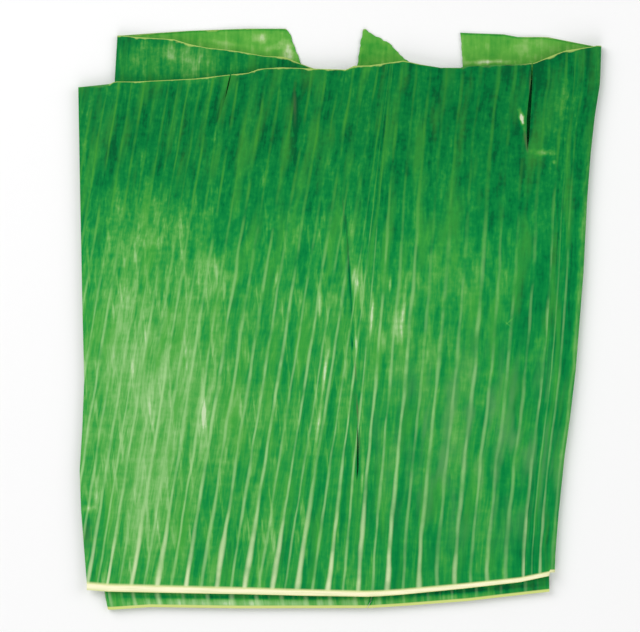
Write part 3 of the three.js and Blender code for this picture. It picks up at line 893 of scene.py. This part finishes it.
def with_edges(tree, where, vein, colour, from_midrib, from_margin, margin_width, margin_share):
    """Lay the margin line and the sliver of midrib over a colour."""
    noise = clouds(tree, where, 110.0, 4.0)
    reach = times(tree, from_margin, fade(tree, noise, 0.35, 0.65, 0.6, 2.6))
    share = fade(tree, reach, margin_width * 0.5, margin_width * 1.4, margin_share, 0.0)
    x = add(tree, "ShaderNodeSeparateXYZ", {0: where}).outputs[0]
    bare = total(tree, spot(tree, where, (74, 140), (44, 60)), fade(tree, x, -132 * MM, -124 * MM, 1.0, 0.0))
    share = times(tree, share, fade(tree, bare, 0.1, 0.5, 1.0, 0.15))
    colour = blend(tree, share, colour, MARGIN_YELLOW)
    patchy = upright_streaks(tree, where, 0.0, 0.05, 0.9, 20.0)
    cream = blend(tree, fade(tree, patchy, 0.4, 0.7, 0.0, 0.4), SLIVER_CREAM, SLIVER_GREEN)
    middle = fade(tree, apart(tree, from_midrib, 0.5), 0.2, 0.5, 0.0, 0.6)
    hidden = fade(tree, vein, FIRST_BACK_VEIN - 1.0, FIRST_BACK_VEIN)
    yellow = calc(tree, "MAXIMUM", middle, times(tree, hidden, 0.9))
    cream = blend(tree, yellow, cream, SLIVER_YELLOW)
    return blend(tree, fade(tree, from_midrib, 0.88, 1.3, 1.0, 0.0), colour, cream)


def bumped(tree, height, distance, strength):
    inputs = {"Height": height, "Distance": distance * MM, "Strength": strength}
    return add(tree, "ShaderNodeBump", inputs).outputs[0]


print("edge helpers ready")


# %% Finish of the upper side
def upper_side(material):
    material.use_nodes = True
    tree = material.node_tree
    shader = tree.nodes["Principled BSDF"]
    where, vein, up, from_midrib, from_margin = maps_and_places(tree)
    waver = clouds(tree, where, 45.0, 1.0)
    vein = calc(tree, "ADD", vein, centred(tree, waver, 0.12))
    x, y, _ = add(tree, "ShaderNodeSeparateXYZ", {0: where}).outputs
    line = vein_lines(tree, vein, up, fade(tree, x, *RIGHT_OF_CREASE, 0.15, 0.115), 0.085)
    between = vein_lines(tree, calc(tree, "ADD", vein, 0.5), up, 0.085, 0.075, 40.0)
    # Painted shade: a dark band on the right side of every side vein, where the raised ridge turns away from
    # the light.
    beside = calc(tree, "PINGPONG", total(tree, times(tree, vein, 2.0), -0.45), 1.0)
    tone = calc(tree, "SUBTRACT", upper_tone(tree, where, vein, up), fade(tree, beside, 0.0, 0.55, 0.09, 0.0))
    tone = marked(tree, where, tone, PAINTED_SHADE_MARKS)
    tone = marked(tree, where, tone, SCARS, 1.0)
    colour = tone_colour(tree, tone, UPPER_TONES)
    sallow = fade(tree, streaks(tree, vein, up, 1.9, 0.02, 21.0), 0.48, 0.72, 0.0, 0.45)
    colour = blend(tree, sallow, colour, SALLOW_GREEN)
    greyed = fade(tree, streaks(tree, vein, up, 2.4, 0.03, 23.0), 0.42, 0.7, 0.0, 0.8)
    greyed = times(tree, greyed, spot(tree, where, (78, -68), (80, 75)))
    colour = blend(tree, greyed, colour, GREY_GREEN)
    clearness = fade(tree, vein, FIRST_BACK_VEIN - 1.0, FIRST_BACK_VEIN, 1.0, 0.25)
    clearness = times(tree, clearness, fade(tree, x, *RIGHT_OF_CREASE, 1.0, 0.64))
    line_colour = blend(tree, fade(tree, up, 150.0, 265.0), VEIN_GREEN, SALLOW_GREEN)
    for shown, low_share, high_share in ((line, 0.76, 0.66), (between, 0.62, 0.5)):
        share = times(tree, shown, fade(tree, up, 90.0, 250.0, low_share, high_share))
        share = times(tree, share, clearness)
        colour = blend(tree, share, colour, line_colour)
    shade = fade(tree, y, 30 * MM, 120 * MM, 1.0, 0.82)
    colour = add(tree, "ShaderNodeHueSaturation", {"Value": shade, "Color": colour}).outputs[0]
    to_right = times(tree, fade(tree, x, *RIGHT_OF_CREASE, 1.0, 0.6), clearness)
    near = times(tree, times(tree, line, to_right), fade(tree, up, 6.0, 90.0, 1.0, 0.0))
    colour = blend(tree, near, colour, VEIN_CREAM)
    for centre, half_size, turn, strength in BRUISES:
        share = times(tree, spot(tree, where, centre, half_size, turn, 0.6), strength)
        colour = blend(tree, share, colour, BRUISE_BROWN)
    colour = with_edges(tree, where, vein, colour, from_midrib, from_margin, 0.8, 0.85)
    tree.links.new(colour, shader.inputs["Base Color"])
    relief = centred(tree, streaks(tree, vein, up, 9.0, 0.05, 6.0), 1.4)
    tree.links.new(bumped(tree, relief, 0.12, 0.35), shader.inputs["Normal"])
    rough = fade(tree, streaks(tree, vein, up, 3.0, 0.03, 8.0), 0.3, 0.7, 0.4, 0.55)
    tree.links.new(rough, shader.inputs["Roughness"])
    shader.inputs["Specular IOR Level"].default_value = 0.04


upper_side(upper_finish)
print("upper side:", len(upper_finish.node_tree.nodes), "nodes")

# %% [markdown]
# ## The underside and the cut edges
# The underside has no wax shine. It is a lighter, slightly yellow green with the same veins standing out
# more, rubbed pale where the flaps were handled. A cut edge shows the inside of the blade.


# %% Finish of the underside and of a cut edge
def under_side(material):
    material.use_nodes = True
    tree = material.node_tree
    shader = tree.nodes["Principled BSDF"]
    where, vein, up, from_midrib, from_margin = maps_and_places(tree)
    mottle = clouds(tree, where, 170.0, 3.0)
    broad = centred(tree, streaks(tree, vein, up, 1.4, 0.03, 11.0), 0.4)
    fine = centred(tree, streaks(tree, vein, up, 6.0, 0.07, 12.0), 0.4)
    tone = total(tree, broad, centred(tree, mottle, 0.5), fine, 0.5)
    line = vein_lines(tree, vein, up, 0.14, 0.1)
    tone = calc(tree, "MULTIPLY_ADD", line, fade(tree, up, 0.0, 290.0, 0.4, 0.12), tone)
    tone = marked(tree, where, tone, UNDER_SCARS, 1.0)
    tone = total(tree, tone, fade(tree, from_margin, 0.3, 1.6, -0.25, 0.0))
    colour = tone_colour(tree, tone, UNDER_TONES)
    near = times(tree, line, fade(tree, up, 8.0, 62.0, 0.9, 0.0))
    colour = blend(tree, near, colour, VEIN_CREAM)
    colour = with_edges(tree, where, vein, colour, from_midrib, from_margin, 0.6, 0.5)
    tree.links.new(colour, shader.inputs["Base Color"])
    relief = centred(tree, streaks(tree, vein, up, 9.0, 0.05, 14.0), 1.4)
    tree.links.new(bumped(tree, relief, 0.12, 0.5), shader.inputs["Normal"])
    shader.inputs["Roughness"].default_value = 0.6
    shader.inputs["Specular IOR Level"].default_value = 0.04


def cut_edge(material):
    material.use_nodes = True
    tree = material.node_tree
    shader = tree.nodes["Principled BSDF"]
    where = add(tree, "ShaderNodeTexCoord").outputs["Object"]
    noise = clouds(tree, where, 700.0)
    tree.links.new(tone_colour(tree, noise, UNDER_TONES), shader.inputs["Base Color"])
    shader.inputs["Roughness"].default_value = 0.5
    shader.inputs["Specular IOR Level"].default_value = 0.2


under_side(under_finish)
cut_edge(cut_finish)
print("underside:", len(under_finish.node_tree.nodes), "nodes")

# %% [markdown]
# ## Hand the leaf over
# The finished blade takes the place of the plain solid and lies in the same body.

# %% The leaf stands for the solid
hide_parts("banana_leaf")
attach(leaf, "root")
print("leaf:", len(leaf.data.vertices), "points")

# %% [markdown]
# ## Table, light and camera
# The leaf lies on a plain pale ground and is seen from straight above, through a long lens. Broad soft lights
# stand low round it, so that the shiny upper side mirrors little of them and keeps its deep green.

# %% Ground
ground_mesh = bpy.data.meshes.new("ground")
ground_mesh.from_pydata([(-4, -4, 0), (4, -4, 0), (4, 4, 0), (-4, 4, 0)], [], [(0, 1, 2, 3)])
ground = collect("ground", ground_mesh)
ground_finish = bpy.data.materials.new("pale_ground")
ground_finish.use_nodes = True
ground_shader = ground_finish.node_tree.nodes["Principled BSDF"]
ground_shader.inputs["Base Color"].default_value = (0.9, 0.9, 0.9, 1)
ground_shader.inputs["Roughness"].default_value = 0.9
ground_shader.inputs["Specular IOR Level"].default_value = 0.1
ground_mesh.materials.append(ground_finish)
print("ground:", ground.name)


# %% Lights
def soft_light(name, azimuth, elevation, distance, size, power):
    lamp = bpy.data.lights.new(name, "AREA")
    lamp.size = size
    lamp.energy = power
    thing = collect(name, lamp)
    a, e = math.radians(azimuth), math.radians(elevation)
    place = distance * np.array([math.cos(a) * math.cos(e), math.sin(a) * math.cos(e), math.sin(e)])
    thing.location = place
    thing.rotation_euler = (math.pi / 2 - e, 0, a + math.pi / 2)


soft_light("light_upper_left", 140, 45, 1.6, 1.2, 15.5)
soft_light("light_right", 10, 42, 1.6, 1.2, 8)
soft_light("light_below", 265, 40, 1.6, 1.2, 8)
world = bpy.data.worlds.new("studio")
bpy.context.scene.world = world
world.use_nodes = True
world.node_tree.nodes["Background"].inputs[0].default_value = (1, 1, 1, 1)
world.node_tree.nodes["Background"].inputs[1].default_value = 0.36
print("lights: three soft boxes and an even sky")

# %% Camera
VIEW_WIDTH = 352
VIEW_CENTRE = (-11, 1.65)
CAMERA_HEIGHT = 2000
SENSOR_WIDTH = 36
camera_data = bpy.data.cameras.new("camera")
camera_data.sensor_width = SENSOR_WIDTH
camera_data.lens = SENSOR_WIDTH * CAMERA_HEIGHT / VIEW_WIDTH
camera = collect("camera", camera_data)
camera.location = (VIEW_CENTRE[0] * MM, VIEW_CENTRE[1] * MM, (CAMERA_HEIGHT + FRONT_Z) * MM)
bpy.context.scene.camera = camera
bpy.context.scene.view_settings.view_transform = "Standard"
print("lens:", round(camera_data.lens), "mm")
